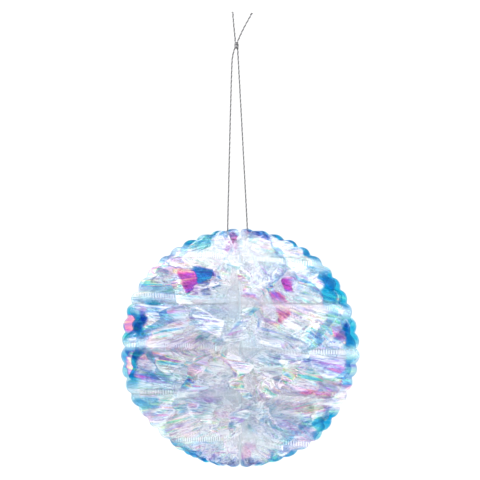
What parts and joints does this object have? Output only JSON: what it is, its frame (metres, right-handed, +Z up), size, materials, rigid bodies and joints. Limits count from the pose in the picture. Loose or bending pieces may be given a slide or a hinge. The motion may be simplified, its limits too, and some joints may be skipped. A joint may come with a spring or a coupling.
{
  "type": "film honeycomb ball",
  "caption": "Hanging honeycomb ball of clear iridescent film, with a scalloped rim and a loop of twisted cord tied in a knot.",
  "frame": {"origin": "centre of the ball, on its spine", "axes": "+Z up along the spine towards the hanging cord, -Y the front, +X to the right of the front"},
  "size_m": [0.1496, 0.1496, 0.2861],
  "materials": {
    "iridescent_film": "clear thin film with a colour-shifting coat: pale lilac and aqua, with deeper cyan, blue, violet and pink where it turns away",
    "welded_film": "whitish melted bead of the same film",
    "twisted_cord": "grey cord of two twisted plies with a slight silver glint"
  },
  "bodies": {
    "root": {"leaf_01": "iridescent_film", "leaf_02": "iridescent_film", "leaf_03": "iridescent_film", "leaf_04": "iridescent_film", "leaf_05": "iridescent_film", "leaf_06": "iridescent_film", "leaf_07": "iridescent_film", "leaf_08": "iridescent_film", "leaf_09": "iridescent_film", "leaf_10": "iridescent_film", "leaf_11": "iridescent_film", "leaf_12": "iridescent_film", "leaf_13": "iridescent_film", "leaf_14": "iridescent_film", "leaf_15": "iridescent_film", "leaf_16": "iridescent_film", "spine_weld_lower": "welded_film", "spine_weld_upper": "welded_film", "hanging_cord": "twisted_cord"}
  },
  "joints": []
}
